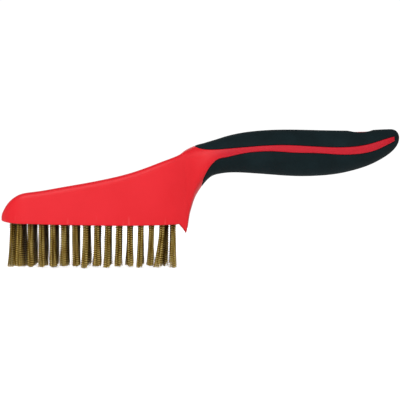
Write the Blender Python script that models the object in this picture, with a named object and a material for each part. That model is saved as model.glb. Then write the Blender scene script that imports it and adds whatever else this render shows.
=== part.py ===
"""Hand wire brush with a raised two-colour handle, 290 mm long.

Pieces: one red plastic moulding (hollow head, neck and handle core), a black soft grip moulded round
the handle, a carrier block pressed up into the head, and the wire tufts stapled into that block.
X runs from the toe to the tail, Y across, Z up. The origin is under the middle of the brush, at the
level of the wire tips.
"""

import math

import bmesh
import bpy
import numpy as np

MM = 0.001
GAP = 0.3

# Driving dimensions, in millimetres. Distances along the brush are counted from the toe.
LENGTH = 290.0
TOE_LENGTH = 22.0
TOE_LEVEL = 35.0
TOE_RISE, TOE_FULLNESS = 18.3, 1.3
TOE_SLOPE = 0.035
TOE_DROP = 3.2
HEAD_HALF_WIDTH = 17.5
HEAD_TOP_RADIUS = 4.0
RIM_RADIUS = 0.9
NECK_RADIUS = 3.5
OVAL_FROM, OVAL_TO = 122.0, 158.0

GRIP_THICKNESS, ROOM_CLEARANCE = 1.8, 1.5
RIB_PROUD = 0.4
RIB_FROM, RIB_TO = 134.0, 150.0
WINDOW_X, WINDOW_LENGTH, WINDOW_WIDTH = 260.5, 20.0, 13.6

WALL = 2.4
POCKET_FRONT, POCKET_BACK = 4.8, 126.6
POCKET_NOSE = 15.0
POCKET_BENDS = (107.5, 118.0)
BLOCK_BOTTOM, BLOCK_TOP = 33.6, 44.6
LEDGE = 1.6
ROOF = 3.2
BAY_EDGES = (14.0, 42.0, 70.0, 98.0, 119.0)
BAY_TAPER = 1.5
RIB_WALL = 2.0

TUFT_PITCH = 7.75
ROW_PITCH = 7.5
FIRST_COLUMN = 14.4
TOE_TUFT = 8.4
# Counted in pitches from the first column; the last tuft of an inner row stands closer to the heel.
INNER_COLUMNS = (*range(13), 13.35)
OUTER_COLUMNS = range(15)
# Hidden among the others, these four have a hole and no solid, which keeps the model under 60 objects.
HOLES_ONLY = ("tuft_row2_01", "tuft_row2_02", "tuft_row3_01", "tuft_row3_02")
TUFT_TIP_RADIUS, TUFT_ROOT_RADIUS, HOLE_RADIUS = 2.1, 1.6, 1.95
TUFT_TOP = 42.0
TUFT_SIDES = 8

# Side view of the brush behind the toe: where each cross-section starts on the top line and ends on
# the bottom line, as (top x, top z, bottom x, bottom z, half width). The sections stand upright in
# the head, fan out round the hooked heel and the neck, and follow the handle to its round end.
STATIONS = (
    (22.0, 54.1, 22.0, 31.8, 17.5),
    (31.5, 55.4, 32.0, 31.5, 17.5),
    (42.0, 57.3, 43.0, 31.2, 17.5),
    (57.3, 60.0, 58.0, 30.9, 17.5),
    (74.8, 63.4, 76.0, 30.6, 17.5),
    (92.4, 67.8, 94.0, 30.5, 17.5),
    (106.0, 72.5, 107.5, 30.7, 17.5),
    (116.0, 76.4, 118.0, 31.0, 17.2),
    (121.5, 78.5, 124.0, 31.3, 16.6),
    (124.5, 79.8, 127.0, 31.5, 16.0),
    (126.8, 81.1, 129.7, 28.1, 15.4),
    (129.0, 82.7, 132.2, 24.6, 14.9),
    (130.8, 84.2, 133.2, 28.2, 14.5),
    (133.0, 85.6, 133.8, 31.6, 14.2),
    (135.3, 86.8, 134.7, 37.0, 13.9),
    (138.0, 88.0, 136.3, 42.9, 13.6),
    (141.0, 89.1, 138.2, 48.8, 13.4),
    (144.5, 90.0, 141.1, 54.6, 13.3),
    (148.8, 91.3, 145.5, 60.7, 13.3),
    (153.8, 92.8, 150.6, 65.7, 13.3),
    (160.0, 94.8, 157.0, 67.9, 13.4),
    (168.0, 96.9, 165.0, 68.8, 13.7),
    (180.0, 98.9, 178.0, 68.5, 14.1),
    (195.0, 100.1, 194.0, 67.4, 14.5),
    (212.0, 100.4, 212.0, 66.3, 14.8),
    (230.0, 100.1, 230.0, 66.6, 14.8),
    (245.0, 99.9, 245.5, 68.3, 14.5),
    (256.0, 99.9, 258.0, 71.2, 14.1),
    (266.0, 100.2, 268.0, 74.6, 13.4),
    (275.0, 100.8, 277.0, 79.1, 12.1),
    (281.5, 101.1, 283.0, 83.1, 10.2),
    (286.0, 100.8, 287.0, 87.0, 7.6),
    (288.6, 98.9, 289.2, 90.7, 4.6),
    (289.7, 96.6, 289.8, 93.3, 2.0),
    (290.0, 95.0, 290.0, 95.0, 0.0),
)
TOE_STEPS = 6
GRIP_FIRST = TOE_STEPS + 13

# The red rib that shows through the grip on both sides: its edges in side view, front to back.
RIB_UPPER = ((138.6, 87.4), (141.5, 86.0), (145.0, 85.2), (150.6, 84.9), (164.6, 85.7), (179.6, 87.0),
             (194.7, 88.0), (205.0, 88.1), (220.0, 87.4), (235.3, 86.7), (245.5, 86.7), (255.7, 87.5),
             (266.3, 89.7), (277.2, 93.2), (283.0, 95.0))
RIB_TIP = ((284.8, 94.8), (285.2, 93.2))
RIB_LOWER = ((282.8, 91.2), (277.2, 88.1), (266.3, 83.6), (255.7, 81.7), (245.5, 81.2), (235.3, 81.7),
             (225.0, 82.3), (215.0, 82.4), (205.0, 82.8), (194.7, 83.5), (184.7, 83.3), (174.6, 82.2),
             (164.6, 80.0), (160.6, 79.1), (157.6, 78.6), (154.6, 77.6), (150.6, 74.2), (147.8, 70.4),
             (146.1, 67.2), (144.6, 63.7), (143.9, 61.0))

# Sizes of the bodies that cut: wider, lower or higher than the brush is anywhere.
CUT_WIDTH, CUT_LOW, CUT_HIGH = 80.0, 10.0, 120.0
WINDOW_CUT_LEVEL, WINDOW_CUT_DEPTH = 92.0, 20.0
HOLE_LEAD = 5.0
RIB_BASE = 100.0

RED, BLACK, BRASS = (0.84, 0.035, 0.04), (0.016, 0.024, 0.028), (0.42, 0.31, 0.15)


def smoothstep(low, high, value):
    t = np.clip((value - low) / (high - low), 0, 1)
    return t * t * (3 - 2 * t)


def toe_stations():
    """The rounded toe: a quarter ellipse in plan, one under the rim, and a leaner one over the top."""
    rows = []
    for angle in np.linspace(0, math.pi / 2, TOE_STEPS + 1)[:-1]:
        x = TOE_LENGTH * (1 - math.cos(angle))
        top = TOE_LEVEL + TOE_RISE * math.sin(angle) ** TOE_FULLNESS + TOE_SLOPE * x
        bottom = TOE_LEVEL - TOE_DROP * math.sin(angle)
        rows.append((x, top, x, bottom, HEAD_HALF_WIDTH * math.sin(angle)))
    return rows


def section_columns():
    """Places round half a section, bottom to top, as fractions of its five stretches."""
    flat, corner, side = (0, 0.5), (1, 4 / 3, 5 / 3), (2, 2.25, 2.5, 2.75)
    upper_corner, upper_flat = (3, 10 / 3, 11 / 3), (4, 4.5, 5)
    return np.array(flat + corner + side + upper_corner + upper_flat)


def surface(first=0, grow=0.0, proud=0.0):
    """Rings of the outer surface from section `first` to the tail, as (ring, column, xyz) in mm.

    Each section is a rounded rectangle that turns into an ellipse along the neck. `grow` moves the
    whole surface outwards along its normals, and `proud` widens the handle."""
    rows = np.array(toe_stations() + list(STATIONS))
    top, bottom, half_width = rows[:, None, 0:2], rows[:, None, 2:4], rows[:, 4:5]
    along = rows[:, 0:1]
    half_width = half_width + proud * smoothstep(RIB_FROM, RIB_TO, along) * (half_width > 0)
    half_height = np.linalg.norm(top - bottom, axis=2) / 2
    limit = np.minimum(half_width, half_height)
    top_radius = np.minimum(HEAD_TOP_RADIUS, limit)
    rim = RIM_RADIUS + (NECK_RADIUS - RIM_RADIUS) * smoothstep(OVAL_FROM, OVAL_FROM + 10, along)
    low_radius = np.minimum(rim, limit)
    oval = smoothstep(OVAL_FROM, OVAL_TO, along)

    columns = section_columns()[None, :]
    turn = np.interp(columns, (0, 1, 2, 3, 4, 5), np.radians((-90, -90, 0, 0, 90, 90)))
    upper = np.clip(columns - 2, 0, 1)
    radius = low_radius + (top_radius - low_radius) * upper
    centre_y = (half_width - radius) * np.clip(np.minimum(columns, 5 - columns), 0, 1)
    centre_z = -(half_height - low_radius) * (1 - upper) + (half_height - top_radius) * upper
    round_y = half_width * np.cos(np.radians(columns * 36 - 90))
    round_z = half_height * np.sin(np.radians(columns * 36 - 90))
    across = (centre_y + radius * np.cos(turn)) * (1 - oval) + round_y * oval
    up = (centre_z + radius * np.sin(turn)) * (1 - oval) + round_z * oval
    across = np.concatenate((across, -across[:, -2:0:-1]), axis=1)
    up = np.concatenate((up, up[:, -2:0:-1]), axis=1)

    lean = (top - bottom) / np.maximum(2 * half_height, 1e-9)[:, :, None]
    side_view = (top + bottom) / 2 + up[:, :, None] * lean
    rings = np.stack((side_view[:, :, 0], across, side_view[:, :, 1]), axis=2)
    if grow:
        rings = rings + grow * outward(rings)
    return rings[first:]


def outward(rings):
    """Unit normals of the rings. The two end points of the brush face straight along it."""
    along = np.gradient(rings, axis=0)
    around = np.roll(rings, -1, axis=1) - np.roll(rings, 1, axis=1)
    normal = np.cross(around, along)
    normal[0], normal[-1] = (-1, 0, 0), (1, 0, 0)
    return normal / np.maximum(np.linalg.norm(normal, axis=2, keepdims=True), 1e-9)


def to_world(points):
    """Millimetres from the toe to metres from the middle."""
    return (np.asarray(points, float) - (LENGTH / 2, 0, 0)) * MM


def finish_mesh(name, bm, collection, colour=None, roughness=0.4, metallic=0.0):
    """Makes an object from a bmesh, with outward faces, and gives it a material if it has a colour."""
    bmesh.ops.recalc_face_normals(bm, faces=bm.faces)
    mesh = bpy.data.meshes.new(name)
    bm.to_mesh(mesh)
    bm.free()
    obj = bpy.data.objects.new(name, mesh)
    collection.objects.link(obj)
    if colour is None:
        obj.hide_render = True
        obj.display_type = "WIRE"
    else:
        mesh.materials.append(plastic_or_metal(name, colour, roughness, metallic))
        mesh.shade_smooth()
        mesh.set_sharp_from_angle(angle=math.radians(40))
    return obj


def plastic_or_metal(name, colour, roughness, metallic):
    material = bpy.data.materials.new(name)
    material.use_nodes = True
    shader = material.node_tree.nodes["Principled BSDF"]
    shader.inputs["Base Color"].default_value = (*colour, 1)
    shader.inputs["Roughness"].default_value = roughness
    shader.inputs["Metallic"].default_value = metallic
    return material


def loft(rings):
    """A closed bmesh through the rings, with its two end rings filled or drawn to a point."""
    bm = bmesh.new()
    count = rings.shape[1]
    grid = [[bm.verts.new(point) for point in ring] for ring in to_world(rings)]
    for ring, following in zip(grid, grid[1:]):
        for j in range(count):
            k = (j + 1) % count
            bm.faces.new((ring[j], ring[k], following[k], following[j]))
    bm.faces.new(grid[0])
    bm.faces.new(grid[-1])
    bmesh.ops.remove_doubles(bm, verts=bm.verts, dist=1e-6)
    bmesh.ops.dissolve_degenerate(bm, edges=bm.edges, dist=1e-7)
    bmesh.ops.triangulate(bm, faces=bm.faces)
    return bm


def extruded(name, outline, collection, depth, upright=True, level=0.0):
    """A flat outline given a thickness: a filled 2D curve with an extrude, made a mesh to cut with.

    An upright outline is in side view and runs across the brush; the other kind is in plan and
    starts at `level`."""
    curve = bpy.data.curves.new(name, "CURVE")
    curve.dimensions = "2D"
    curve.fill_mode = "BOTH"
    curve.extrude = depth / 2 * MM
    spline = curve.splines.new("POLY")
    spline.points.add(len(outline) - 1)
    for point, (x, height) in zip(spline.points, outline):
        point.co = ((x - LENGTH / 2) * MM, height * MM, 0, 1)
    spline.use_cyclic_u = True
    guide = bpy.data.objects.new(name + "_outline", curve)
    collection.objects.link(guide)
    if upright:
        guide.rotation_euler = (math.pi / 2, 0, 0)
    else:
        guide.location.z = (level + depth / 2) * MM
    bpy.context.view_layer.update()
    evaluated = guide.evaluated_get(bpy.context.evaluated_depsgraph_get())
    bm = bmesh.new()
    bm.from_mesh(bpy.data.meshes.new_from_object(evaluated))
    bmesh.ops.transform(bm, matrix=guide.matrix_world, verts=bm.verts)
    bpy.data.objects.remove(guide)
    bmesh.ops.remove_doubles(bm, verts=bm.verts, dist=1e-6)
    return bm


def offset_outline(outline, distance):
    """Moves a closed anticlockwise outline outwards by a distance, corner by corner."""
    points = np.array(outline, float)
    edge = np.roll(points, -1, axis=0) - points
    normal = np.stack((edge[:, 1], -edge[:, 0]), axis=1)
    normal /= np.linalg.norm(normal, axis=1, keepdims=True)
    before = np.roll(normal, 1, axis=0)
    corner = (normal + before) / (1 + (normal * before).sum(axis=1, keepdims=True))
    return points + distance * corner


def rib_outline(grow=0.0):
    """Side view of everything red on the handle: the neck in front of the grip, and the rib."""
    lower = ((RIB_BASE, CUT_LOW), (RIB_LOWER[-1][0], CUT_LOW)) + tuple(reversed(RIB_LOWER))
    upper = tuple(reversed(RIB_TIP)) + tuple(reversed(RIB_UPPER))
    upper += ((RIB_UPPER[0][0], CUT_HIGH), (RIB_BASE, CUT_HIGH))
    return offset_outline(lower + upper, grow)


def block_outline(inset):
    """Plan of the pocket in the head, or of the block in it: an elliptical nose, sides that follow
    the head's wall, and a square back."""
    rows = np.array(STATIONS)
    half_width = HEAD_HALF_WIDTH - WALL
    turn = np.radians((0, 20, 40, 60, 75))
    nose = np.stack((POCKET_FRONT + POCKET_NOSE * (1 - np.cos(turn)), half_width * np.sin(turn)), axis=1)
    x = np.array((POCKET_FRONT + POCKET_NOSE, *POCKET_BENDS, POCKET_BACK))
    side = np.concatenate((nose, np.stack((x, np.interp(x, rows[:, 2], rows[:, 4]) - WALL), axis=1)))
    plan = np.concatenate((side * (1, -1), side[:0:-1]))
    return offset_outline(plan, -inset)


def top_line(x):
    """Height of the top of the head at a distance from the toe."""
    rows = np.array(STATIONS)
    return float(np.interp(x, rows[:, 0], rows[:, 1]))


def bay(front, back):
    """A cavity over the block between two cross walls, with a roof that follows the head's top."""
    bm = bmesh.new()
    bmesh.ops.create_cube(bm, size=1)
    half_width = HEAD_HALF_WIDTH - WALL - LEDGE
    for vert in bm.verts:
        x = front if vert.co.x < 0 else back
        z = BLOCK_TOP if vert.co.z < 0 else top_line(x) - ROOF
        narrow = BAY_TAPER if vert.co.z > 0 else 0.0
        y = math.copysign(half_width - narrow, vert.co.y)
        vert.co = to_world((x, y, z))
    return bm


def cut(obj, cutter):
    """Cuts one object with another by a live Boolean."""
    modifier = obj.modifiers.new(cutter.name, "BOOLEAN")
    modifier.operation = "DIFFERENCE"
    modifier.solver = "EXACT"
    modifier.object = cutter


def tuft_places():
    """Every tuft as (name, distance from the toe, y): two at the toe, and four rows behind them."""
    places = [("tuft_toe_1", TOE_TUFT, -ROW_PITCH / 2), ("tuft_toe_2", TOE_TUFT, ROW_PITCH / 2)]
    for row in range(4):
        columns = OUTER_COLUMNS if row in (0, 3) else INNER_COLUMNS
        for column in columns:
            x = FIRST_COLUMN + TUFT_PITCH * column
            places.append((f"tuft_row{row + 1}_{int(column) + 1:02d}", x, (row - 1.5) * ROW_PITCH))
    return places


def cone(low_radius, high_radius, bottom, top):
    """An upright cone with closed ends, standing over the origin."""
    bm = bmesh.new()
    bmesh.ops.create_cone(bm, cap_ends=True, segments=TUFT_SIDES, radius1=low_radius * MM,
                          radius2=high_radius * MM, depth=(top - bottom) * MM)
    bmesh.ops.translate(bm, verts=bm.verts, vec=(0, 0, (top + bottom) / 2 * MM))
    return bm


def make_body(parts, cutters):
    """The red moulding: the whole outside, less the room for the grip, the pocket and the bays."""
    body = finish_mesh("body", loft(surface(proud=RIB_PROUD)), parts, RED, 0.28)
    room = finish_mesh("grip_room", loft(surface(GRIP_FIRST, grow=ROOM_CLEARANCE)), cutters)
    core = finish_mesh("handle_core", loft(surface(TOE_STEPS, grow=-GRIP_THICKNESS - GAP)), cutters)
    keep = finish_mesh("rib_keep", extruded("rib_keep", rib_outline(), cutters, CUT_WIDTH), cutters)
    cut(room, core)
    cut(room, keep)
    cut(body, room)
    pocket = extruded("pocket", block_outline(0), cutters, BLOCK_TOP + GAP - CUT_LOW, False, CUT_LOW)
    cut(body, finish_mesh("pocket", pocket, cutters))
    for number, (front, back) in enumerate(zip(BAY_EDGES, BAY_EDGES[1:]), 1):
        cut(body, finish_mesh(f"bay_{number}", bay(front + RIB_WALL / 2, back - RIB_WALL / 2), cutters))


def make_grip(parts, cutters):
    """The soft grip: a sleeve closed round the tail, with a slot for each rib and an oval window."""
    grip = finish_mesh("soft_grip", loft(surface(GRIP_FIRST)), parts, BLACK, 0.6)
    core = finish_mesh("grip_inside", loft(surface(TOE_STEPS, grow=-GRIP_THICKNESS)), cutters)
    slots = finish_mesh("rib_slots", extruded("rib_slots", rib_outline(GAP), cutters, CUT_WIDTH), cutters)
    cut(grip, core)
    cut(grip, slots)
    turns = np.linspace(0, 2 * math.pi, 24, endpoint=False)
    oval = np.stack((WINDOW_X + WINDOW_LENGTH / 2 * np.cos(turns), WINDOW_WIDTH / 2 * np.sin(turns)), axis=1)
    window = extruded("window", oval, cutters, WINDOW_CUT_DEPTH, False, WINDOW_CUT_LEVEL)
    cut(grip, finish_mesh("window", window, cutters))


def make_block(parts, cutters):
    """The carrier block, with a blind hole for each tuft."""
    plate = extruded("tuft_block", block_outline(GAP), cutters, BLOCK_TOP - BLOCK_BOTTOM, False, BLOCK_BOTTOM)
    block = finish_mesh("tuft_block", plate, parts, RED, 0.5)
    holes = bmesh.new()
    for _, x, y in tuft_places():
        hole = cone(HOLE_RADIUS, HOLE_RADIUS, BLOCK_BOTTOM - HOLE_LEAD, TUFT_TOP + GAP)
        bmesh.ops.translate(hole, verts=hole.verts, vec=to_world((x, y, 0)))
        mesh = bpy.data.meshes.new("hole")
        hole.to_mesh(mesh)
        hole.free()
        holes.from_mesh(mesh)
    cut(block, finish_mesh("holes", holes, cutters))


def make_tufts(parts):
    """The wire tufts, one object each, sharing one mesh."""
    first = None
    for name, x, y in tuft_places():
        if name in HOLES_ONLY:
            continue
        if first is None:
            frustum = cone(TUFT_TIP_RADIUS, TUFT_ROOT_RADIUS, 0, TUFT_TOP)
            first = finish_mesh(name, frustum, parts, BRASS, 0.45, 1.0)
            tuft = first
        else:
            tuft = bpy.data.objects.new(name, first.data)
            parts.objects.link(tuft)
        tuft.location = to_world((x, y, 0))


def main():
    for obj in list(bpy.data.objects):
        bpy.data.objects.remove(obj)
    parts = bpy.data.collections.new("wire_brush")
    cutters = bpy.data.collections.new("cutters")
    for collection in (parts, cutters):
        bpy.context.scene.collection.children.link(collection)
    make_body(parts, cutters)
    make_grip(parts, cutters)
    make_block(parts, cutters)
    make_tufts(parts)


main()
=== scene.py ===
"""Looks of a hand wire brush: red moulded head and handle core, black soft grip, brass wire tufts.

Lengths are in millimetres until place() turns them into the frame's metres. Distances along the brush
run from the toe, at the low X end of the frame's box, to the tail.
"""

import math

import bmesh
import bpy
import numpy as np

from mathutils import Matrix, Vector


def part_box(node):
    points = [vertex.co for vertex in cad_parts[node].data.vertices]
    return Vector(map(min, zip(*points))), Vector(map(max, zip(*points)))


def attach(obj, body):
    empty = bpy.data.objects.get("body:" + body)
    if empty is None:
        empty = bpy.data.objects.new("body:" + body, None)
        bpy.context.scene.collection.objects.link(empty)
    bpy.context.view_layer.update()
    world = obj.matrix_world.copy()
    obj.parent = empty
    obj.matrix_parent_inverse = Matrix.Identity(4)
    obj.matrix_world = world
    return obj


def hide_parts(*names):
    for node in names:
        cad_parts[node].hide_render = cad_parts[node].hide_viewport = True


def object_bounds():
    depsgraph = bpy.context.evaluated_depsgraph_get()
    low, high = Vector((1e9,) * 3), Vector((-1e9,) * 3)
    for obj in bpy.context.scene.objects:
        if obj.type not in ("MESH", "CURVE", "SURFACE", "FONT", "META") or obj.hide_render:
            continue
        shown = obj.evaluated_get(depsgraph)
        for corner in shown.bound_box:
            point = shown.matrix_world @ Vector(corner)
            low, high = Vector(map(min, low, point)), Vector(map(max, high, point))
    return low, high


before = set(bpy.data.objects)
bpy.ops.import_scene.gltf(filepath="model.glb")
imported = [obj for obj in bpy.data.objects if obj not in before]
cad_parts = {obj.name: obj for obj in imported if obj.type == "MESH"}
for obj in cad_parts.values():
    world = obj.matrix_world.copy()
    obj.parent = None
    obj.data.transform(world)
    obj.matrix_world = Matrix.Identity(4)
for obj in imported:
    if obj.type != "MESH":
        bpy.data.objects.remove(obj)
CAD_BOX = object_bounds()
MM = 0.001
LOW = np.array(CAD_BOX[0]) / MM

# Side view: where each cross-section starts on the top line and ends on the bottom line, as
# (top x, top z, bottom x, bottom z, half width). They fan out round the heel and the neck.
TOE_LENGTH, TOE_LEVEL, TOE_RISE, TOE_FULLNESS, TOE_SLOPE, TOE_DROP = 22.0, 35.0, 18.3, 1.3, 0.035, 3.2
HEAD_HALF_WIDTH = 17.5
STATIONS = (
    (22.0, 54.1, 22.0, 31.8, 17.5),
    (31.5, 55.4, 32.0, 31.5, 17.5),
    (42.0, 57.3, 43.0, 31.2, 17.5),
    (57.3, 60.0, 58.0, 30.9, 17.5),
    (74.8, 63.4, 76.0, 30.6, 17.5),
    (92.4, 67.8, 94.0, 30.5, 17.5),
    (106.0, 72.5, 107.5, 30.7, 17.5),
    (116.0, 76.4, 118.0, 31.0, 17.2),
    (121.5, 78.5, 124.0, 31.3, 16.6),
    (124.5, 79.8, 127.0, 31.5, 16.0),
    (126.8, 81.1, 129.7, 28.1, 15.4),
    (129.0, 82.7, 132.2, 24.6, 14.9),
    (130.8, 84.2, 133.2, 28.2, 14.5),
    (133.0, 85.6, 133.8, 31.6, 14.2),
    (135.3, 86.8, 134.7, 37.0, 13.9),
    (138.0, 88.0, 136.3, 42.9, 13.6),
    (141.0, 89.1, 138.2, 48.8, 13.4),
    (144.5, 90.0, 141.1, 54.6, 13.3),
    (148.8, 91.3, 145.5, 60.7, 13.3),
    (153.8, 92.8, 150.6, 65.7, 13.3),
    (160.0, 94.8, 157.0, 67.9, 13.4),
    (168.0, 96.9, 165.0, 68.8, 13.7),
    (180.0, 98.9, 178.0, 68.5, 14.1),
    (195.0, 100.1, 194.0, 67.4, 14.5),
    (212.0, 100.4, 212.0, 66.3, 14.8),
    (230.0, 100.1, 230.0, 66.6, 14.8),
    (245.0, 99.9, 245.5, 68.3, 14.5),
    (256.0, 99.9, 258.0, 71.2, 14.1),
    (266.0, 100.2, 268.0, 74.6, 13.4),
    (275.0, 100.8, 277.0, 79.1, 12.1),
    (281.5, 101.1, 283.0, 83.1, 10.2),
    (286.0, 100.8, 287.0, 87.0, 7.6),
    (288.6, 98.9, 289.2, 90.7, 4.6),
    (289.7, 96.6, 289.8, 93.3, 2.0),
    (290.0, 95.0, 290.0, 95.0, 0.0),
)
TOE_STEPS = 6
NOTCH, HEEL_TIP = TOE_STEPS + 9, TOE_STEPS + 11
HEAD_TOP_RADIUS, RIM_RADIUS, NECK_RADIUS = 4.0, 0.9, 3.5
OVAL_FROM, OVAL_TO = 122.0, 158.0

# The red rib between the two halves of the grip, and the oval window near the tail.
RIB_UPPER = ((138.6, 87.4), (141.5, 86.0), (145.0, 85.2), (150.6, 84.9), (164.6, 85.7), (179.6, 87.0),
             (194.7, 88.0), (205.0, 88.1), (220.0, 87.4), (235.3, 86.7), (245.5, 86.7), (255.7, 87.5),
             (266.3, 89.7), (277.2, 93.2), (284.2, 95.1))
RIB_LOWER = ((143.9, 61.0), (144.6, 63.7), (146.1, 67.2), (147.8, 70.4), (150.6, 74.2), (154.6, 77.6),
             (157.6, 78.6), (160.6, 79.1), (164.6, 80.0), (174.6, 82.2), (184.7, 83.3), (194.7, 83.5),
             (205.0, 82.8), (215.0, 82.4), (225.0, 82.3), (235.3, 81.7), (245.5, 81.2), (255.7, 81.7),
             (266.3, 83.6), (277.2, 88.1), (284.4, 91.7))
RIB_FROM, RIB_TO, RIB_PROUD, RIB_EDGE = 134.0, 150.0, 0.45, 0.7
GRIP_THICKNESS, GRIP_EDGE, SEAM = 1.8, 0.55, 0.12
WINDOW_X, WINDOW_HALF_LENGTH, WINDOW_HALF_WIDTH = 260.5, 10.0, 6.8
WINDOW_SHARE, WINDOW_DEPTH = 0.35, 0.95
WALL, POCKET_FRONT, POCKET_NOSE, POCKET_TOP, POCKET_EDGE = 2.4, 4.8, 15.0, 44.9, 0.3
POCKET_BACK_WALL, POCKET_LEAST, POCKET_MOST, NOSE_LIMIT = 0.4, 0.02, 0.93, 0.968

# The fine grid of points that the moulding and the grip share. ROW_SPACING gives the distance between
# its rows, as (from the toe, spacing). CLUSTER is where rows stand beside an edge.
ROW_SPACING = ((0, 0.35), (18, 0.7), (30, 1.8), (112, 1.8), (122, 0.5), (165, 0.5), (180, 1.3), (268, 1.3),
               (282, 0.5), (290, 0.25))
CLUSTER = np.array((-0.7, -0.48, -0.3, -0.14, -0.03, 0.05, SEAM, 0.2, 0.34, 0.52, 0.8))
CLEAR_OF_CLUSTER, CLEAR_OF_CORNER, CORNER_GAP = 0.1, 0.12, 0.01
ROW_SAMPLES, LINE_SAMPLES, CURVE_SAMPLES, EDGE_SAMPLES, RING_SAMPLES = 4000, 6000, 600, 1500, 301
UNDER_STEPS, RIB_STEPS, WINDOW_STEPS, TOP_STEPS, TOP_REACH = 12, 35, 5, 12, 3.5
# The largest share that a cluster may take of the room beside it.
UNDER_ROOM, RIB_ROOM, TOP_ROOM = 0.5, 0.42, 0.3
SLOPE_STEP, TINY, LEAST_WIDTH, FAR_OUTSIDE, PROBE_END = 0.02, 1e-4, 0.1, -9.0, 0.5
BODY_CLEARANCE, BODY_TIP, GRIP_TIP = 0.2, 0.05, 0.1
# In degrees, and in metres.
SHARP_ANGLE, MERGE_DISTANCE = 35, 1e-7


def place(points):
    """Millimetres from the toe to the frame's metres."""
    return (np.asarray(points, float) + (LOW[0], 0, LOW[2])) * MM


def smoothstep(low, high, value):
    """Eases from 0 at low to 1 at high."""
    t = np.clip((value - low) / (high - low), 0, 1)
    return t * t * (3 - 2 * t)


def spline(knots, values, at):
    """Natural cubic spline: the curve of least bending through the values, with straight ends."""
    knots, values, at = np.asarray(knots, float), np.asarray(values, float), np.asarray(at, float)
    step, count = np.diff(knots), len(knots)
    rise = np.diff(values) / step
    matrix, right = np.eye(count), np.zeros(count)
    for i in range(1, count - 1):
        matrix[i, i - 1:i + 2] = step[i - 1], 2 * (step[i - 1] + step[i]), step[i]
        right[i] = 6 * (rise[i] - rise[i - 1])
    bend = np.linalg.solve(matrix, right)
    i = np.clip(np.searchsorted(knots, at, side="right") - 1, 0, count - 2)
    h, a, b = step[i], knots[i + 1] - at, at - knots[i]
    return ((bend[i] * a ** 3 + bend[i + 1] * b ** 3) / (6 * h)
            + (values[i] / h - bend[i] * h / 6) * a + (values[i + 1] / h - bend[i + 1] * h / 6) * b)


def toe_stations():
    """The rounded toe: a quarter ellipse in plan, one under the rim, and a leaner one over the top."""
    angle = np.linspace(0, math.pi / 2, TOE_STEPS + 1)[:-1]
    x = TOE_LENGTH * (1 - np.cos(angle))
    top = TOE_LEVEL + TOE_RISE * np.sin(angle) ** TOE_FULLNESS + TOE_SLOPE * x
    bottom = TOE_LEVEL - TOE_DROP * np.sin(angle)
    return np.stack((x, top, x, bottom, HEAD_HALF_WIDTH * np.sin(angle)), axis=1)


ROWS = np.concatenate((toe_stations(), np.array(STATIONS)))
STEPS = (np.linalg.norm(np.diff(ROWS[:, 0:2], axis=0), axis=1)
         + np.linalg.norm(np.diff(ROWS[:, 2:4], axis=0), axis=1)) / 2
KNOTS = np.concatenate(((0,), np.cumsum(STEPS)))
END = KNOTS[-1]


def top_line(along):
    """The top line's distance from the toe and its height, at places along the brush."""
    return spline(KNOTS, ROWS[:, 0], along), spline(KNOTS, ROWS[:, 1], along)


def bottom_line(along):
    """The bottom line, in three splines that meet in a corner at the notch and at the heel's tip."""
    x, z = np.zeros(along.shape), np.zeros(along.shape)
    for first, last in ((0, NOTCH), (NOTCH, HEEL_TIP), (HEEL_TIP, len(ROWS) - 1)):
        here = (along >= KNOTS[first]) & (along <= KNOTS[last])
        some = slice(first, last + 1)
        x[here] = spline(KNOTS[some], ROWS[some, 2], along[here])
        z[here] = spline(KNOTS[some], ROWS[some, 3], along[here])
    return x, z


def section(along, round_, proud):
    """One point a row on the cross-section: a rounded rectangle blended into an ellipse.

    `round_` runs from 0 under the middle to 5 on top: 0-1 bottom, 1-2 lower corner, 2-3 side,
    3-4 upper corner, 4-5 top. Returns the middle of the section and the way up it, both in side
    view, and how far across and up the point is from that middle."""
    top_x, top_z = top_line(along)
    low_x, low_z = bottom_line(along)
    half_height = np.maximum(np.hypot(top_x - low_x, top_z - low_z) / 2, TINY)
    half_width = np.maximum(spline(KNOTS, ROWS[:, 4], along), TINY)
    half_width = half_width + proud * smoothstep(RIB_FROM, RIB_TO, top_x) * np.minimum(half_width / 4, 1)
    limit = np.minimum(half_width, half_height)
    top_radius = np.minimum(HEAD_TOP_RADIUS, limit)
    rim = RIM_RADIUS + (NECK_RADIUS - RIM_RADIUS) * smoothstep(OVAL_FROM, OVAL_FROM + 10, top_x)
    low_radius = np.minimum(rim, limit)
    oval = smoothstep(OVAL_FROM, OVAL_TO, top_x)
    turn = np.interp(round_, (0, 1, 2, 3, 4, 5), np.radians((-90, -90, 0, 0, 90, 90)))
    upper = np.clip(round_ - 2, 0, 1)
    radius = low_radius + (top_radius - low_radius) * upper
    centre = (half_width - radius) * np.clip(np.minimum(round_, 5 - round_), 0, 1)
    level = -(half_height - low_radius) * (1 - upper) + (half_height - top_radius) * upper
    angle = np.radians(round_ * 36 - 90)
    across = (centre + radius * np.cos(turn)) * (1 - oval) + half_width * np.cos(angle) * oval
    up = (level + radius * np.sin(turn)) * (1 - oval) + half_height * np.sin(angle) * oval
    middle = np.stack((top_x + low_x, top_z + low_z), axis=-1) / 2
    lean = np.stack((top_x - low_x, top_z - low_z), axis=-1) / (2 * half_height[..., None])
    return middle, lean, across, up


def surface(along, round_, proud=0.0):
    """Points of the outside, for two arrays of the same shape: along the brush and round it."""
    middle, lean, across, up = section(along, round_, proud)
    side = middle + up[..., None] * lean
    return np.stack((side[..., 0], -across, side[..., 1]), axis=-1)


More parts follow.
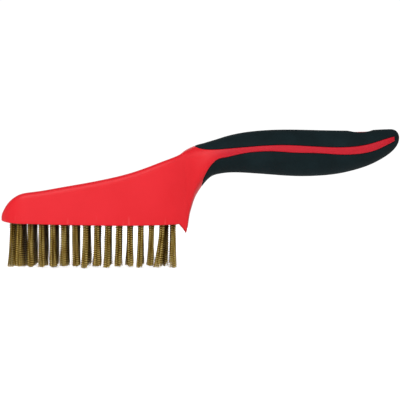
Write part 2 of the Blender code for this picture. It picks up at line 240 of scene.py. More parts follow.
def slopes(along, round_, proud=0.0):
    """How the outside changes along and round the brush, by central differences."""
    ahead, behind = np.clip(along + SLOPE_STEP, 0, END), np.clip(along - SLOPE_STEP, 0, END)
    over, under = np.clip(round_ + SLOPE_STEP, 0, 5), np.clip(round_ - SLOPE_STEP, 0, 5)
    lengthwise = surface(ahead, round_, proud) - surface(behind, round_, proud)
    crosswise = surface(along, over, proud) - surface(along, under, proud)
    return lengthwise / (ahead - behind)[..., None], crosswise / (over - under)[..., None]


def normals(along, round_, proud=0.0):
    """Unit outward normals: the cross product of the two slopes."""
    lengthwise, crosswise = slopes(along, round_, proud)
    normal = np.cross(lengthwise, crosswise)
    return normal / np.maximum(np.linalg.norm(normal, axis=-1, keepdims=True), 1e-12)


def edge_places(along, curve):
    """Where a line drawn in side view crosses each section, as its place round the section.

    Sections before the line's start or past its end take the place of the nearest that it crosses.
    Also returns the first and the last place along the brush where it crosses one."""
    curve = np.array(curve)
    reach = np.concatenate(((0,), np.cumsum(np.hypot(*np.diff(curve, axis=0).T))))
    fine = np.linspace(0, reach[-1], CURVE_SAMPLES)
    drawn = np.stack((spline(reach, curve[:, 0], fine), spline(reach, curve[:, 1], fine)), axis=1)
    middle, lean, _, _ = section(along, np.full(along.shape, 2.5), 0.0)
    away = drawn[None] - middle[:, None]
    side = lean[:, None, 0] * away[:, :, 1] - lean[:, None, 1] * away[:, :, 0]
    height = (away * lean[:, None]).sum(axis=2)
    ring = np.linspace(0, 5, RING_SAMPLES)
    places = np.full(along.shape, np.nan)
    for i in range(len(along)):
        crossed = np.nonzero((side[i, :-1] >= 0) & (side[i, 1:] < 0))[0]
        if len(crossed):
            k = crossed[0]
            share = side[i, k] / (side[i, k] - side[i, k + 1])
            level = height[i, k] + share * (height[i, k + 1] - height[i, k])
            ups = section(np.full(ring.shape, along[i]), ring, 0.0)[3]
            places[i] = np.interp(level, np.maximum.accumulate(ups + ring * 1e-9), ring)
    known = np.nonzero(np.isfinite(places))[0]
    return np.interp(along, along[known], places[known]), along[known[0]], along[known[-1]]


def row_places(*edges):
    """Places of the grid's rows: closer where the brush curves, and in a cluster at each edge."""
    fine = np.linspace(0, END, ROW_SAMPLES)
    spacing = np.interp(spline(KNOTS, ROWS[:, 0], fine), *zip(*ROW_SPACING))
    count = np.cumsum(END / ROW_SAMPLES / spacing)
    rows = np.interp(np.arange(0.5, count[-1] - 0.3), count, fine)
    for edge, offsets in edges:
        before, after = edge + offsets[0] - CLEAR_OF_CLUSTER, edge + offsets[-1] + CLEAR_OF_CLUSTER
        rows = rows[(rows < before) | (rows > after)]
        rows = np.sort(np.concatenate((rows, edge + offsets)))
    corners = KNOTS[[NOTCH, HEEL_TIP]]
    for corner in corners:
        rows = rows[abs(rows - corner) > CLEAR_OF_CORNER]
    return np.sort(np.concatenate((rows, corners - CORNER_GAP, corners + CORNER_GAP)))


def place_of(x, line):
    """The place along the brush where its top line, or its bottom line, is at a distance from the toe."""
    fine = np.linspace(0, END, LINE_SAMPLES)
    return float(np.interp(x, np.maximum.accumulate(line(fine)[0]), fine))


def skin_grid():
    """The grid that the body and the grip share, with its lines laid along every edge.

    Returns the places along and round, and how far each point is inside the grip's ground, inside
    the pocket under the head and inside the window. All five are (row, column) arrays of half the
    brush, in mm but for the places round."""
    pocket_front = place_of(POCKET_FRONT, bottom_line)
    pocket_back = KNOTS[NOTCH] - POCKET_BACK_WALL
    probe = np.linspace(KNOTS[HEEL_TIP], END - PROBE_END, EDGE_SAMPLES)
    upper, upper_front, _ = edge_places(probe, RIB_UPPER)
    lower, lower_front, tail = edge_places(probe, RIB_LOWER)
    window = place_of(WINDOW_X, top_line)
    rows = row_places((pocket_front, CLUSTER[:6]), (pocket_back, -CLUSTER[5::-1]), (upper_front, CLUSTER),
                      (lower_front, CLUSTER), (tail, CLUSTER), (window - WINDOW_HALF_LENGTH, -CLUSTER[::-1]),
                      (window + WINDOW_HALF_LENGTH, CLUSTER))
    high = np.interp(rows, probe, upper)
    low_x, _ = bottom_line(rows)
    half_width = np.maximum(spline(KNOTS, ROWS[:, 4], rows), LEAST_WIDTH)
    nose = np.clip((POCKET_FRONT + POCKET_NOSE - low_x) / (POCKET_NOSE + 0.4), 0, NOSE_LIMIT)
    pocket = (half_width - WALL).clip(0) * np.sqrt(1 - nose ** 2)
    pocket = pocket / np.maximum(half_width - RIM_RADIUS, LEAST_WIDTH)
    low = np.interp(rows, probe, lower)
    handle = smoothstep(KNOTS[NOTCH], lower_front, rows)
    pocket = pocket.clip(POCKET_LEAST, POCKET_MOST)
    low = np.where(rows < lower_front, pocket * (1 - handle) + low * handle, low)

    def shrink(edge):
        """How much of `round` one millimetre square to a slanting edge is."""
        crosswise = np.linalg.norm(slopes(rows, edge)[1], axis=1)
        slant = crosswise * np.gradient(edge, rows)
        return np.sqrt(1 + slant ** 2) / crosswise

    out, into = CLUSTER[5:], -CLUSTER[4::-1]
    low_out = np.minimum(shrink(low), UNDER_ROOM * low / out[-1])
    width = high - low
    low_in = np.minimum(shrink(low), RIB_ROOM * width / into[-1])
    high_in = np.minimum(shrink(high), RIB_ROOM * width / into[-1])
    high_out = np.minimum(shrink(high), TOP_ROOM * (5 - high) / out[-1])
    lower_share = np.linspace(0, 1, UNDER_STEPS + 1)[:-1]
    rib_share = np.linspace(0, 1, RIB_STEPS + 1)[1:-1]
    ring = CLUSTER / WINDOW_HALF_WIDTH + 1
    share = np.concatenate((np.linspace(0, ring[0], WINDOW_STEPS + 1)[:-1], ring,
                            np.linspace(ring[-1], TOP_REACH, TOP_STEPS + 1)[1:]))
    upper_share = share[::-1] * WINDOW_SHARE

    edge_low = low - out[-1] * low_out
    inner_low, inner_high = low + into[-1] * low_in, high - into[-1] * high_in
    edge_high = high + out[-1] * high_out
    columns = [edge_low[:, None] * lower_share,
               low[:, None] - low_out[:, None] * out[::-1],
               low[:, None] + low_in[:, None] * into,
               inner_low[:, None] + (inner_high - inner_low)[:, None] * rib_share,
               high[:, None] - high_in[:, None] * into[::-1],
               high[:, None] + high_out[:, None] * out[:-1],
               5 - (5 - edge_high)[:, None] * np.minimum(upper_share, 1)]
    round_ = np.concatenate(columns, axis=1)
    along = np.repeat(rows[:, None], round_.shape[1], 1)

    first = round_.shape[1] - len(upper_share)
    x = (along[:, first:] - window) / WINDOW_HALF_LENGTH
    y = np.repeat(share[::-1][None], len(rows), 0)
    outside = np.maximum((abs(x) - 1) * WINDOW_HALF_LENGTH, (y - 1) * WINDOW_HALF_WIDTH)
    new_x, new_y = oval_from_square(x, y)
    along[:, first:] = window + new_x * WINDOW_HALF_LENGTH
    reach = 5 - np.interp(along[:, first:], rows, edge_high)
    round_[:, first:] = 5 - reach * np.minimum(new_y * WINDOW_SHARE, 1)

    below = (low[:, None] - round_) / np.maximum(low_out[:, None], 1e-6)
    above = (round_ - high[:, None]) / np.maximum(high_out[:, None], 1e-6)
    rib_first = UNDER_STEPS + len(out)
    below[:, rib_first:] = -((round_ - low[:, None]) / low_in[:, None])[:, rib_first:]
    rib_columns = slice(rib_first, first - len(out) + 1)
    above[:, rib_columns] = -((high[:, None] - round_) / high_in[:, None])[:, rib_columns]
    at_low = float(np.linalg.norm(slopes(np.array([lower_front]), np.array([0.0]))[0]))
    at_high = float(np.linalg.norm(slopes(np.array([upper_front]), np.array([5.0]))[0]))
    row = rows[:, None]
    over_rib = corner(above, (row - upper_front) * at_high)
    under_rib = corner(below, (row - lower_front) * at_low)
    inside = np.maximum(np.maximum(over_rib, under_rib), row - tail)
    inside[:, first:] = np.minimum(inside[:, first:], outside)
    hollow = corner(below, corner(row - pocket_front, pocket_back - row))
    window_depth = np.full(inside.shape, FAR_OUTSIDE)
    window_depth[:, first:] = -outside
    return along, round_, inside, hollow, window_depth


def corner(a, b):
    """Signed distance into the ground that two edges share: square inside, round outside."""
    return np.where(np.minimum(a, b) > 0, np.minimum(a, b), -np.hypot(np.minimum(a, 0), np.minimum(b, 0)))


def oval_from_square(x, y):
    """Bends a square grid so that its unit square becomes a unit circle, and leaves it alone past 2.

    A point on the unit square goes to (x sqrt(1 - y^2 / 2), y sqrt(1 - x^2 / 2))."""
    size = np.maximum(np.maximum(abs(x), abs(y)), 1e-9)
    unit_x, unit_y = x / size, y / size
    keep = smoothstep(1.0, 2.0, size)
    bent_x = unit_x * np.sqrt(1 - unit_y ** 2 / 2)
    bent_y = unit_y * np.sqrt(1 - unit_x ** 2 / 2)
    return size * (bent_x + (unit_x - bent_x) * keep), size * (bent_y + (unit_y - bent_y) * keep)


def rounded(distance, radius):
    """Drop of a rounded edge: a quarter circle that starts `radius` before the edge."""
    t = np.clip((distance + radius) / radius, 0, 1)
    return radius * (1 - np.sqrt(1 - t ** 2))


def both_sides(half):
    """A full ring of points from the half with Y below 0, and its mirror image."""
    other = half[:, -2:0:-1] * (1, -1, 1)
    return np.concatenate((half, other), axis=1)


def make_piece(name, points, faces):
    """A mesh object from arrays, at the origin, shaded smooth but for its sharp edges."""
    mesh = bpy.data.meshes.new(name)
    mesh.from_pydata(place(points).tolist(), [], faces)
    bm = bmesh.new()
    bm.from_mesh(mesh)
    bmesh.ops.remove_doubles(bm, verts=bm.verts, dist=MERGE_DISTANCE)
    bmesh.ops.dissolve_degenerate(bm, edges=bm.edges, dist=MERGE_DISTANCE)
    bmesh.ops.recalc_face_normals(bm, faces=bm.faces)
    bm.to_mesh(mesh)
    bm.free()
    mesh.shade_smooth()
    mesh.set_sharp_from_angle(angle=math.radians(SHARP_ANGLE))
    obj = bpy.data.objects.new(name, mesh)
    bpy.context.scene.collection.objects.link(obj)
    return obj


def quads(keep, start=0):
    """Faces of the kept cells of a ring grid, whose columns close on themselves."""
    rows, count = keep.shape
    index = start + np.arange((rows + 1) * count).reshape(rows + 1, count)
    across = np.roll(index, -1, axis=1)
    return np.stack((index[:-1], across[:-1], across[1:], index[1:]), axis=2)[keep]


def cap(ring, tip):
    """Triangles from the last ring to a point."""
    return np.stack((ring, np.roll(ring, -1), np.full(ring.shape, tip)), axis=1)


def make_body(grid):
    """The red moulding: the outside, sunk under the grip, with rounded ribs and a pocket below."""
    along, round_, inside, hollow, window = grid
    points = surface(along, round_, RIB_PROUD)
    drop = rounded(inside, RIB_EDGE)
    drop = np.where(window > -1, WINDOW_DEPTH, drop)
    drop = np.where(inside > 0, GRIP_THICKNESS + BODY_CLEARANCE + RIB_PROUD, drop)
    points -= drop[..., None] * normals(along, round_, RIB_PROUD)
    rise = rounded(hollow, POCKET_EDGE)
    points[..., 2] = np.where(hollow > 0, POCKET_TOP, points[..., 2] + rise)
    ring = both_sides(points)
    rows, count = ring.shape[:2]
    last = np.arange((rows - 1) * count, rows * count)
    toe = (0.0, 0.0, TOE_LEVEL)
    tail = ring[-1].mean(axis=0) + (BODY_TIP, 0, 0)
    faces = quads(np.ones((rows - 1, count), bool)).tolist()
    faces += cap(np.arange(count), rows * count).tolist() + cap(last, rows * count + 1).tolist()
    return make_piece("moulded_body", np.concatenate((ring.reshape(-1, 3), (toe, tail))), faces)


def make_grip(grid):
    """The soft grip: the ground inside its edges, given a thickness, with rounded rims."""
    along, round_, inside, _, _ = grid
    edge = np.clip(SEAM + GRIP_EDGE - inside, 0, GRIP_EDGE)
    drop = GRIP_EDGE - np.sqrt(GRIP_EDGE ** 2 - edge ** 2)
    out = normals(along, round_)
    base = surface(along, round_)
    outer = both_sides(base - drop[..., None] * out)
    inner = both_sides(base - GRIP_THICKNESS * out)
    within = np.concatenate((inside, inside[:, -2:0:-1]), axis=1) > SEAM - 0.01
    keep = within[:-1] & within[1:] & np.roll(within, -1, axis=1)[:-1] & np.roll(within, -1, axis=1)[1:]
    rows, count = within.shape
    size = rows * count
    index = np.arange(size).reshape(rows, count)
    sideways = keep != np.roll(keep, 1, axis=1)
    line = np.stack((index[:-1], index[1:]), axis=2)[sideways]
    ends = keep[:-1] != keep[1:]
    nearby = np.roll(index, -1, axis=1)
    line = np.concatenate((line, np.stack((index[1:-1], nearby[1:-1]), axis=2)[ends]))
    walls = np.stack((line[:, 0], line[:, 1], line[:, 1] + size, line[:, 0] + size), axis=1)
    faces = quads(keep).tolist() + quads(keep, size).tolist() + walls.tolist()
    last = index[-1]
    faces += cap(last, 2 * size).tolist() + cap(last + size, 2 * size + 1).tolist()
    tips = outer[-1].mean(axis=0) + (GRIP_TIP, 0, 0), inner[-1].mean(axis=0)
    points = np.concatenate((outer.reshape(-1, 3), inner.reshape(-1, 3), tips))
    used = np.unique(np.concatenate([np.ravel(f) for f in faces]))
    renumber = np.zeros(len(points), int)
    renumber[used] = np.arange(len(used))
    return make_piece("soft_sleeve", points[used], [renumber[list(f)].tolist() for f in faces])


# Wire tufts. Each wire is folded over a staple in its hole, so both its ends show. A wire has 174
# faces, because each of its crimps, which show in outline, takes two rings of points.
WIRES, WIRE_RADIUS, WIRE_SIDES = 44, 0.2, 4
CRIMP_LENGTH, CRIMP_DEPTH, RINGS_A_CRIMP = 1.62, 0.4, 2
ROOT_LEVEL, ROOT_SPREAD, TIP_SPREAD = 36.0, 1.85, 2.3
CRIMP_FACING, CRIMP_SLANT = 0.7, 0.3
# The second number is painted shade: how much darker the seams between strands are painted.
STRANDS, STRAND_SEAM_SHADE = 2, 0.6
GOLDEN_ANGLE = math.radians(137.5)
# How the spread, the crimps and the trimmed ends differ from tuft to tuft and from wire to wire. The
# two curves are powers: the higher, the nearer the tips the spread and the uneven ends set in.
SPREAD_RANGE, DEPTH_RANGE, TRIM_FROM, TRIM_RANGE = (0.82, 1.2), (0.75, 1.1), 0.1, 1.9
TIP_SCATTER, STRAY_CHANCE, STRAY_SCATTER, TUFT_SCATTER, FACING_SCATTER = 0.4, 0.04, 1.1, 0.55, 0.45
UNEVEN_SHAPE, UNEVEN_SCALE, SPREAD_CURVE, UNEVEN_CURVE = 1.6, 0.45, 1.6, 12
# How far a tuft's tips lean, in mm along X and as a share of Y: towards the toe, with more of it the
# nearer the tuft is to the heel, and outwards.
TOEWARD_LEAN, HEEL_EXTRA_LEAN, OUTWARD_LEAN, HEEL_DISTANCE = -0.2, -0.7, 0.03, 120
# These stand hidden among the others and have a hole in the block but no solid in the frame.
HOLES_ONLY = ("tuft_row2_01", "tuft_row2_02", "tuft_row3_01", "tuft_row3_02")
LEANING_TUFTS = {"tuft_row1_15": (-1.4, 0.2), "tuft_row1_14": (-3.4, -0.6), "tuft_row1_13": (-1.5, -0.3),
                 "tuft_row2_14": (-1.6, 0.0), "tuft_row4_14": (-1.2, 0.3), "tuft_row4_15": (-1.5, 0.0)}


def mesh_from_arrays(name, points, faces, crimp):
    """A mesh object, shaded flat, from arrays of points in mm, four-sided faces and a value per point."""
    mesh = bpy.data.meshes.new(name)
    mesh.vertices.add(len(points))
    mesh.vertices.foreach_set("co", place(points).astype(np.float32).ravel())
    mesh.loops.add(faces.size)
    mesh.loops.foreach_set("vertex_index", faces.ravel().astype(np.int32))
    mesh.polygons.add(len(faces))
    mesh.polygons.foreach_set("loop_start", np.arange(0, faces.size, 4, dtype=np.int32))
    mesh.update(calc_edges=True)
    mesh.attributes.new("crimp", "FLOAT", "POINT").data.foreach_set("value", crimp.astype(np.float32))
    mesh.validate()
    obj = bpy.data.objects.new(name, mesh)
    bpy.context.scene.collection.objects.link(obj)
    return obj


def wire_paths(x, y, lean, rng):
    """Centre lines of a tuft's wires, as (wire, ring, xyz), root to tip.

    A wire starts on a sunflower pattern in its hole. On the way down it moves outwards, slowly at
    first, leans with its tuft, and zigzags by its crimp: out and back once a crimp. The wires lie
    nested in strands. In a strand the crimps lie side by side, a little lower on one side
    than on the other, and in the next strand they are half a crimp further on. Also returns a share
    of painted light for each point: 1, a painted highlight, on a crimp's peak in the middle of a
    strand; lower, as painted shade, in the seams between strands; and 0, painted shade, in a crimp's valley."""
    rings = int(ROOT_LEVEL / CRIMP_LENGTH * RINGS_A_CRIMP)
    down = np.linspace(0, 1, rings)[None, :, None]
    number = np.arange(WIRES)
    turn = number * GOLDEN_ANGLE + rng.uniform(0, 2 * math.pi)
    out = np.sqrt((number + 0.5) / WIRES)[:, None]
    root = ROOT_SPREAD * out * np.stack((np.cos(turn), np.sin(turn)), axis=1)
    spread = TIP_SPREAD * rng.uniform(*SPREAD_RANGE)
    tip = root * spread / ROOT_SPREAD + rng.normal(0, TIP_SCATTER, (WIRES, 2))
    stray = rng.random(WIRES) < STRAY_CHANCE
    tip[stray] += rng.normal(0, STRAY_SCATTER, (int(stray.sum()), 2))
    tip += np.array(lean) + rng.normal(0, TUFT_SCATTER, 2)
    trim = TRIM_FROM + rng.uniform(0, TRIM_RANGE)
    uneven = rng.gamma(UNEVEN_SHAPE, UNEVEN_SCALE, WIRES)[:, None, None]
    path = root[:, None] + (tip - root)[:, None] * down ** SPREAD_CURVE
    facing = rng.normal(CRIMP_FACING, FACING_SCATTER, WIRES)
    side = np.stack((np.cos(facing), np.sin(facing)), axis=1)[:, None]
    across = (root[:, 0] / ROOT_SPREAD + 1) * STRANDS / 2
    strand = np.floor(across)
    peak = (np.arange(rings)[None] + strand[:, None]) % 2
    path = path + CRIMP_DEPTH * rng.uniform(*DEPTH_RANGE, (WIRES, 1, 1)) * (2 * peak[..., None] - 1) * side
    start = ROOT_LEVEL - rng.uniform(0, CRIMP_LENGTH)
    z = start + (trim - start) * down + uneven * down ** UNEVEN_CURVE
    z = z + CRIMP_SLANT * root[:, None, :1] * (1 - down)
    seam = (2 * (across - strand) - 1) ** 2
    return np.concatenate((path + (x, y), z), axis=2), peak * (1 - STRAND_SEAM_SHADE * seam[:, None])


def tuft_place(node):
    """Where a tuft stands. One without a solid is beside its neighbour in the outer row, and in line
    with its own row."""
    def middle(name):
        low, high = (np.array(corner) / MM - (LOW[0], 0, LOW[2]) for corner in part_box(name))
        return (low[:2] + high[:2]) / 2

    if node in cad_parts:
        return middle(node)
    row, column = node.removeprefix("tuft_row").split("_")
    return middle("tuft_row1_" + column)[0], middle("tuft_row" + row + "_03")[1]


def make_tuft(node, rng):
    """One tuft of crimped wires, each a tube of a few sides with closed ends."""
    x, y = tuft_place(node)
    usual = TOEWARD_LEAN + HEEL_EXTRA_LEAN * (x / HEEL_DISTANCE) ** 2, OUTWARD_LEAN * y
    lean = LEANING_TUFTS.get(node, usual)
    paths, painted_light = wire_paths(x, y, lean, rng)
    rings = paths.shape[1]
    turn = (np.arange(WIRE_SIDES) + 0.5) * 2 * math.pi / WIRE_SIDES
    around = WIRE_RADIUS * np.stack((np.cos(turn), np.sin(turn), 0 * turn), axis=1)
    points = paths[:, :, None] + around
    index = np.arange(WIRES * rings * WIRE_SIDES).reshape(WIRES, rings, WIRE_SIDES)
    nearby = np.roll(index, -1, axis=2)
    sides = np.stack((index[:, :-1], index[:, 1:], nearby[:, 1:], nearby[:, :-1]), axis=3)
    faces = np.concatenate((sides.reshape(-1, 4), index[:, 0], index[:, -1, ::-1]))
    return mesh_from_arrays("wires_" + node.removeprefix("tuft_"), points.reshape(-1, 3), faces,
                            np.repeat(painted_light, WIRE_SIDES))


# Materials. They read Object coordinates, which are the frame's metres: X is 0 half-way along the brush,
# and Z is 0 under the wires' tips.
def linear(colour):
    """An sRGB hex colour as linear RGBA."""
    value = np.array([int(colour[i:i + 2], 16) for i in (1, 3, 5)]) / 255
    value = np.where(value <= 0.04045, value / 12.92, ((value + 0.055) / 1.055) ** 2.4)
    return (*value.tolist(), 1.0)


def add(owner, kind, inputs=None, stops=(), **settings):
    """Adds a node to a material or to the world, with its settings and colour stops. Each input gets
    a value, or a link from the output that is given for it. Returns the node's outputs."""
    node = owner.node_tree.nodes.new(kind)
    for name, value in settings.items():
        setattr(node, name, value)
    for position, _ in stops[1:-1]:
        node.color_ramp.elements.new(position)
    for element, (position, colour) in zip(node.color_ramp.elements if stops else (), stops):
        element.position, element.color = position, linear(colour)
    for socket, value in (inputs or {}).items():
        if isinstance(value, bpy.types.NodeSocket):
            owner.node_tree.links.new(value, node.inputs[socket])
        else:
            node.inputs[socket].default_value = value
    return node.outputs


def new_material(name):
    """An empty material, ready for its nodes."""
    material = bpy.data.materials.new(name)
    material.use_nodes = True
    material.node_tree.nodes.clear()
    return material


def finish_material(material, **inputs):
    """Gives a material its shader and output. Uniform values go straight on the shader's sockets."""
    named = {name.replace("_", " "): value for name, value in inputs.items()}
    shader = add(material, "ShaderNodeBsdfPrincipled", named)
    add(material, "ShaderNodeOutputMaterial", {"Surface": shader["BSDF"]})
    return material


def red_polypropylene():
    """Injection-moulded polypropylene off a satin-polished tool: even, saturated, softly glossy. It
    has a faint orange peel of 0.9 mm, slow changes of tone where the melt flowed, and pale stress
    marks up from the rim where the block was pressed in. From the middle of the brush towards the tail it
    turns darker."""
    material = new_material("red_polypropylene")
    coordinates = add(material, "ShaderNodeTexCoord")["Object"]
    x, _, z = add(material, "ShaderNodeSeparateXYZ", {"Vector": coordinates})
    flow = add(material, "ShaderNodeTexNoise", {"Vector": coordinates, "Scale": 1000 / 45, "Detail": 2.0})
    tone = add(material, "ShaderNodeValToRGB", {"Fac": flow["Fac"]}, ((0.32, "#d9101d"), (0.68, "#df1825")))
    # Darker towards the tail, from the middle of the brush on.
    towards_tail = add(material, "ShaderNodeMapRange", {"Value": x, "From Min": 0.0, "From Max": 20 * MM,
                                                   "To Max": 0.9}, interpolation_type="SMOOTHSTEP")
    tail_tone = add(material, "ShaderNodeMix", {"Factor": towards_tail["Result"], "A": tone["Color"],
                                           "B": linear("#bb0822")}, data_type="RGBA")
    stretched = add(material, "ShaderNodeMapping", {"Vector": coordinates, "Scale": (1, 1, 0.12)})
    streaks = add(material, "ShaderNodeTexNoise", {"Vector": stretched["Vector"], "Scale": 1000 / 3.2,
                                                   "Detail": 1.0})
    thin = add(material, "ShaderNodeMapRange", {"Value": streaks["Fac"], "From Min": 0.7, "From Max": 0.8})
    low = add(material, "ShaderNodeMapRange", {"Value": z, "From Min": 31 * MM, "From Max": 38 * MM,
                                               "To Min": 0.22, "To Max": 0.0})
    mark = add(material, "ShaderNodeMath", {0: thin["Result"], 1: low["Result"]}, operation="MULTIPLY")
    marked = add(material, "ShaderNodeMix", {"Factor": mark["Value"], "A": tail_tone["Result"],
                                             "B": linear("#ff8a86")}, data_type="RGBA")
    peel = add(material, "ShaderNodeTexNoise", {"Vector": coordinates, "Scale": 1000 / 0.9, "Detail": 3.0})
    rough = add(material, "ShaderNodeMapRange", {"Value": flow["Fac"], "To Min": 0.36, "To Max": 0.48})
    bump = add(material, "ShaderNodeBump", {"Height": peel["Fac"], "Strength": 0.1, "Distance": 0.04 * MM})
    return finish_material(material, Base_Color=marked["Result"], Roughness=rough["Result"],
                           Normal=bump["Normal"], IOR=1.49, Specular_IOR_Level=0.3)


def black_elastomer():
    """Thermoplastic elastomer moulded on a spark-eroded tool: matt and slightly blue black, with a
    grain of about 0.5 mm, and a little paler where dust holds."""
    material = new_material("black_elastomer")
    coordinates = add(material, "ShaderNodeTexCoord")["Object"]
    grain = add(material, "ShaderNodeTexNoise", {"Vector": coordinates, "Scale": 1000 / 0.5, "Detail": 4.0,
                                                 "Roughness": 0.6})
    dust = add(material, "ShaderNodeTexNoise", {"Vector": coordinates, "Scale": 1000 / 18, "Detail": 4.0})
    colour = add(material, "ShaderNodeValToRGB", {"Fac": dust["Fac"]}, ((0.3, "#0b181b"), (0.72, "#112125")))
    rough = add(material, "ShaderNodeMapRange", {"Value": grain["Fac"], "To Min": 0.62, "To Max": 0.8})
    bump = add(material, "ShaderNodeBump", {"Height": grain["Fac"], "Strength": 0.4, "Distance": 0.12 * MM})
    return finish_material(material, Base_Color=colour["Color"], Roughness=rough["Result"],
                           Normal=bump["Normal"], IOR=1.5, Specular_IOR_Level=0.1)


def block_polypropylene():
    """Polypropylene as machined: the block's faces are dull, with dust of drilling and stapling
    between the tufts, in patches of about 6 mm."""
    material = new_material("block_polypropylene")
    coordinates = add(material, "ShaderNodeTexCoord")["Object"]
    dust = add(material, "ShaderNodeTexNoise", {"Vector": coordinates, "Scale": 1000 / 6, "Detail": 4.0})
    colour = add(material, "ShaderNodeValToRGB", {"Fac": dust["Fac"]}, ((0.35, "#8a0d16"), (0.7, "#b5141f")))
    return finish_material(material, Base_Color=colour["Color"], Roughness=0.55, IOR=1.49)


def brass_wire():
    """Hard-drawn brass wire, crimped and not lacquered: a dull olive gold that has begun to tarnish,
    in streaks along each wire. Each crimp has a painted highlight on its peak and painted shade in its
    valley, and the seams between strands have painted shade. Work rubs the tips bright. Deep among
    the tufts and at their roots the wires are painted dark brown as painted shade, which lifts towards
    the tips, the outer rows and the toe."""
    material = new_material("brass_wire")
    coordinates = add(material, "ShaderNodeTexCoord")["Object"]
    x, y, z = add(material, "ShaderNodeSeparateXYZ", {"Vector": coordinates})
    drawn = add(material, "ShaderNodeMapping", {"Vector": coordinates, "Scale": (1, 1, 0.08)})
    tarnish = add(material, "ShaderNodeTexNoise", {"Vector": drawn["Vector"], "Scale": 1000 / 0.9,
                                                   "Detail": 2.0})
    crimps = add(material, "ShaderNodeAttribute", attribute_name="crimp")
    rubbed = add(material, "ShaderNodeMapRange", {"Value": z, "From Min": 12 * MM, "From Max": 0.0,
                                                  "To Max": 0.12})
    # Painted highlight on each crimp's peak and painted shade in its valley, read from the crimp value.
    crimp_light_and_shade = add(material, "ShaderNodeMapRange", {"Value": crimps["Fac"], "To Min": -0.2, "To Max": 0.22})
    streaks = add(material, "ShaderNodeMath", {0: tarnish["Fac"], 1: crimp_light_and_shade["Result"]}, operation="ADD")
    shine = add(material, "ShaderNodeMath", {0: streaks["Value"], 1: rubbed["Result"]}, operation="ADD")
    bright = add(material, "ShaderNodeValToRGB", {"Fac": shine["Value"]},
                 ((0.34, "#6b4d16"), (0.49, "#bd9838"), (0.63, "#fde48c")))
    # Painted shade: wires in the inner rows, away from the toe, at the roots and high up are painted darker;
    # it lifts towards the tips.
    beside = add(material, "ShaderNodeMath", {0: y}, operation="ABSOLUTE")
    outer = add(material, "ShaderNodeMapRange", {"Value": beside["Value"], "From Min": 8.5 * MM,
                                                 "From Max": 12.2 * MM})
    toe = add(material, "ShaderNodeMapRange", {"Value": x, "From Min": -131 * MM, "From Max": -136 * MM})
    open_side = add(material, "ShaderNodeMath", {0: outer["Result"], 1: toe["Result"]}, operation="MAXIMUM")
    root_shade = add(material, "ShaderNodeMapRange", {"Value": z, "From Min": 27 * MM, "From Max": 33 * MM,
                                                  "To Min": 1.0, "To Max": 0.35})
    shade_lifts_to_tips = add(material, "ShaderNodeMapRange", {"Value": z, "From Min": 30 * MM, "From Max": 4 * MM,
                                                  "To Min": 0.1, "To Max": 0.7})
    unshaded = add(material, "ShaderNodeMath", {0: open_side["Value"], 1: shade_lifts_to_tips["Result"]},
                  operation="MAXIMUM")
    painted_light = add(material, "ShaderNodeMath", {0: unshaded["Value"], 1: root_shade["Result"]}, operation="MULTIPLY")
    # More painted shade in each crimp's valley and in the seams between strands.
    crimp_and_seam_shade = add(material, "ShaderNodeMapRange", {"Value": crimps["Fac"], "To Min": 0.3, "To Max": 1.25})
    painted_light_share = add(material, "ShaderNodeMath", {0: painted_light["Value"], 1: crimp_and_seam_shade["Result"]},
                       operation="MULTIPLY")
    # The dark brown below is the colour of the painted shade.
    colour = add(material, "ShaderNodeMix", {"Factor": painted_light_share["Value"], "A": linear("#4e3212"),
                                             "B": bright["Color"]}, data_type="RGBA")
    rough = add(material, "ShaderNodeMapRange", {"Value": tarnish["Fac"], "To Min": 0.5, "To Max": 0.3})
    return finish_material(material, Base_Color=colour["Result"], Roughness=rough["Result"], Metallic=1.0)


def put_on(obj, material):
    """Makes a material the only one that a piece has."""
    obj.data.materials.clear()
    obj.data.materials.append(material)


def finish_piece(piece, material):
    """Gives a piece its material and the record's slot for it. All of the brush is one body."""
    put_on(piece, material)
    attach(piece, "root")


def build_brush():
    """Every piece of the brush: the moulding and the grip remade, the block kept, the tufts as wires."""
    grid = skin_grid()
    brass = brass_wire()
    body, grip = make_body(grid), make_grip(grid)
    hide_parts("body")
    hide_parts("soft_grip")
    finish_piece(body, red_polypropylene())
    finish_piece(grip, black_elastomer())
    put_on(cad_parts["tuft_block"], block_polypropylene())
    rng = np.random.default_rng(7)
    solids = [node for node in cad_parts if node.startswith("tuft_") and node != "tuft_block"]
    for node in sorted((*solids, *HOLES_ONLY)):
        wires = make_tuft(node, rng)
        if node in solids:
            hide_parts(node)
        finish_piece(wires, brass)


# Studio, in metres. The room and the floor look whiter to the camera than the light they give.
ROOM_LIGHT, ROOM_LIGHT_SEEN = 0.3, 1.05
FLOOR_GLOW, FLOOR_GLOW_SEEN, FLOOR_SIZE, FLOOR_GAP = 0.2, 0.85, 1.6, 0.0004
# Each soft box: name, location, the point it faces, size and power in watts.
SOFT_BOXES = (
    ("key_box", (-0.4, -0.75, 0.6), (-0.03, 0, 0.05), 0.9, 7.6),
    ("fill_box", (0.5, -0.9, 0.45), (0.05, 0, 0.06), 0.6, 1.4),
    ("back_box", (-0.1, 1.0, 0.3), (0.0, 0, 0.05), 0.9, 2.5),
)
# The camera's place in mm, its turn in degrees, and its lens and sensor in mm.
CAMERA_X, CAMERA_DISTANCE, CAMERA_HEIGHT = 108.4, 560.0, 48.7
CAMERA_YAW, CAMERA_LENS, CAMERA_SENSOR = 3.5, 69.24, 36


def soft_box(name, location, aim, size, power):
    """A square soft box that faces a point."""
    lamp = bpy.data.lights.new(name, "AREA")
    lamp.shape, lamp.size, lamp.energy = "SQUARE", size, power
    obj = bpy.data.objects.new(name, lamp)
    obj.location = location
    obj.rotation_euler = (Vector(aim) - Vector(location)).to_track_quat("-Z", "Y").to_euler()
    bpy.context.scene.collection.objects.link(obj)


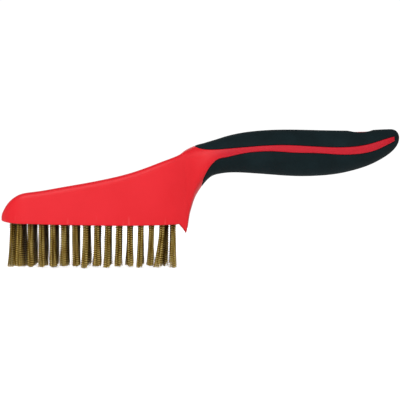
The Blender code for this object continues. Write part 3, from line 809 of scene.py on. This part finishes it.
def studio():
    """A white floor lit from below, a white room that lights softly, and soft boxes at the
    front and the back."""
    paper = new_material("white_paper")
    fibre = add(paper, "ShaderNodeTexNoise", {"Scale": 1000 / 2.5, "Detail": 2.0})
    tone = add(paper, "ShaderNodeValToRGB", {"Fac": fibre["Fac"]}, ((0.3, "#f8f8f7"), (0.7, "#fcfcfb")))
    seen = add(paper, "ShaderNodeLightPath")["Is Camera Ray"]
    glow = add(paper, "ShaderNodeMapRange", {"Value": seen, "To Min": FLOOR_GLOW, "To Max": FLOOR_GLOW_SEEN})
    finish_material(paper, Base_Color=tone["Color"], Roughness=0.9, Emission_Color=(1, 1, 1, 1),
                    Emission_Strength=glow["Result"])
    bpy.ops.mesh.primitive_plane_add(size=FLOOR_SIZE, location=(0, 0, LOW[2] * MM - FLOOR_GAP))
    floor = bpy.context.object
    floor.name = "paper_floor"
    put_on(floor, paper)
    world = bpy.data.worlds.new("white_room")
    world.use_nodes = True
    world.node_tree.nodes.clear()
    seen = add(world, "ShaderNodeLightPath")["Is Camera Ray"]
    strength = add(world, "ShaderNodeMapRange", {"Value": seen, "To Min": ROOM_LIGHT,
                                                 "To Max": ROOM_LIGHT_SEEN})
    white = add(world, "ShaderNodeBackground", {"Color": (1, 1, 1, 1), "Strength": strength["Result"]})
    add(world, "ShaderNodeOutputWorld", {"Surface": white["Background"]})
    bpy.context.scene.world = world
    for box in SOFT_BOXES:
        soft_box(*box)


def set_camera():
    """Level with the middle of the brush, opposite the rear of the head, turned a little to the right."""
    camera = bpy.data.cameras.new("camera")
    camera.lens, camera.sensor_width = CAMERA_LENS, CAMERA_SENSOR
    camera.clip_start = 0.01
    obj = bpy.data.objects.new("camera", camera)
    obj.location = place((CAMERA_X, -CAMERA_DISTANCE, CAMERA_HEIGHT))
    obj.rotation_euler = (math.pi / 2, 0, -math.radians(CAMERA_YAW))
    bpy.context.scene.collection.objects.link(obj)
    bpy.context.scene.camera = obj


build_brush()
studio()
set_camera()
bpy.context.scene.view_settings.view_transform = "Standard"
